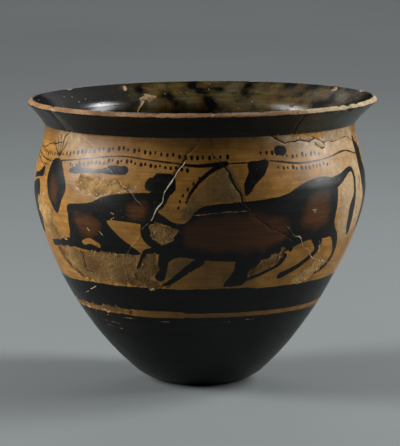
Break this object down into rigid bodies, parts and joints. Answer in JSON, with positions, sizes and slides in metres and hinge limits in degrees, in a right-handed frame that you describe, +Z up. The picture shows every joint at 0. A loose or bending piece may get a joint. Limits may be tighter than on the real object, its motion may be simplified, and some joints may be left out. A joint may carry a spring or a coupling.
{
  "type": "mastos cup",
  "caption": "Deep breast-shaped drinking cup of fired clay, with a flaring rim set off from the body, no foot or handles, standing on a small flat underside.",
  "frame": {"origin": "middle of the flat underside, on the surface that the cup stands on", "axes": "+Z up along the axis that the cup was turned about; -Y towards the side with the crouching figure and the bull"},
  "size_m": [0.13, 0.13, 0.1066],
  "materials": {
    "painted_clay": "burnished orange clay under black gloss slip, with painted silhouettes, worn and mended"
  },
  "bodies": {
    "root": {"cup": "painted_clay"}
  },
  "joints": []
}
